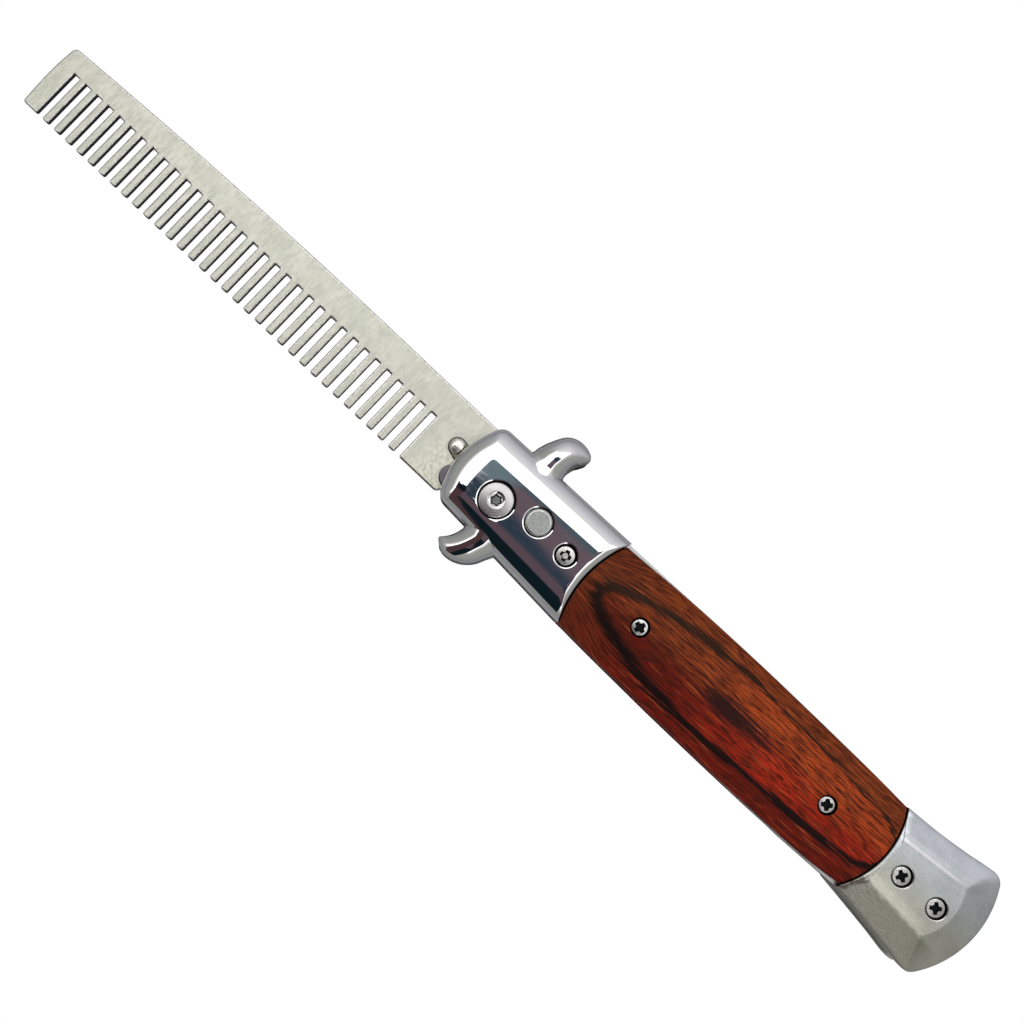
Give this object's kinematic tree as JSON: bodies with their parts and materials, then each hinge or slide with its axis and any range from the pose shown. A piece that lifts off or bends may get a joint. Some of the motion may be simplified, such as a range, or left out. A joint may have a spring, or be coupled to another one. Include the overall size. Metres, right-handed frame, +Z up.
{
  "type": "folding comb",
  "caption": "Folding pocket comb: a slotted steel comb plate that swings out of a handle with wood scales, chromed bolsters with guard horns, a push button and metal pommel.",
  "frame": {"origin": "middle of the footprint of the open comb, on the surface that it lies on", "axes": "+X along the handle towards the pommel, +Y towards the comb's spine, +Z up, towards the face with the button"},
  "size_m": [0.229, 0.0318, 0.0127],
  "materials": {
    "comb_steel": "satin, cross brushed, lightly stained",
    "polished_steel": "polished",
    "liner_steel": "plain rolled",
    "bolster_chrome": "mirror chrome plate",
    "pommel_metal": "satin nickel plate with bright edges",
    "red_wood": "glossy dyed laminated wood",
    "screw_nickel": "nickel plate"
  },
  "bodies": {
    "handle": {"liner_front": "liner_steel", "liner_back": "liner_steel", "back_spacer": "liner_steel", "bolster_front": "bolster_chrome", "bolster_back": "bolster_chrome", "scale_front": "red_wood", "scale_back": "red_wood", "pommel_front": "pommel_metal", "pommel_back": "pommel_metal", "pivot_screw": "screw_nickel", "pivot_nut": "screw_nickel", "bolster_screw_front": "screw_nickel", "bolster_screw_back": "screw_nickel", "scale_screw_front_1": "screw_nickel", "scale_screw_front_2": "screw_nickel", "scale_screw_back_1": "screw_nickel", "scale_screw_back_2": "screw_nickel", "pommel_screw_front_1": "screw_nickel", "pommel_screw_front_2": "screw_nickel", "pommel_screw_back_1": "screw_nickel", "pommel_screw_back_2": "screw_nickel"},
    "comb": {"comb_blade": "comb_steel", "stop_pin": "comb_steel", "tang_plate_front": "polished_steel", "tang_plate_back": "polished_steel"},
    "button": {"push_button": "screw_nickel"}
  },
  "joints": [
    {"name": "comb_pivot", "type": "hinge", "parent": "handle", "child": "comb", "pos_m": [-0.00125, -0.00247, 0.00615], "axis": [0, 0, 1], "range_deg": [0, 180], "stiffness_Nm_per_rad": 0.006, "springref_deg": -85.94},
    {"name": "button_push", "type": "slide", "parent": "handle", "child": "button", "axis": [0, 0, -1], "range_m": [0, 0.0007], "stiffness_N_per_m": 200, "springref_m": -0.0005}
  ]
}
